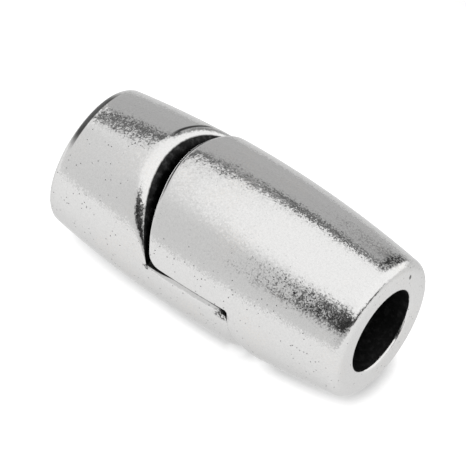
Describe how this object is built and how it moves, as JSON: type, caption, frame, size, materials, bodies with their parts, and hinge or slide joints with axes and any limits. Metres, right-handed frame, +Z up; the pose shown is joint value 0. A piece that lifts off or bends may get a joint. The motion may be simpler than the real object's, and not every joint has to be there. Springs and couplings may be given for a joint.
{
  "type": "magnetic clasp",
  "caption": "Barrel-shaped magnetic clasp for thick round cord: polished metal halves meet in a stepped lap, with a blind cord hole in each end.",
  "frame": {"origin": "bottom centre of the closed clasp, on the surface that it lies on", "axes": "+X along the clasp toward the long half's cord hole, +Z up, with the lap's flats level and the nose on top"},
  "size_m": [0.02, 0.01, 0.0099],
  "materials": {
    "silver_plate": "polished silver plate over a fine cast skin, with small dark pits",
    "magnet_plate": "satin nickel plate"
  },
  "bodies": {
    "short_side": {"short_half": "silver_plate", "tongue_magnet": "magnet_plate"},
    "long_side": {"long_half": "silver_plate", "nose_magnet": "magnet_plate"}
  },
  "joints": [
    {"name": "pull_apart", "type": "slide", "parent": "short_side", "child": "long_side", "axis": [1, 0, 0], "range_m": [0, 0.008]}
  ]
}
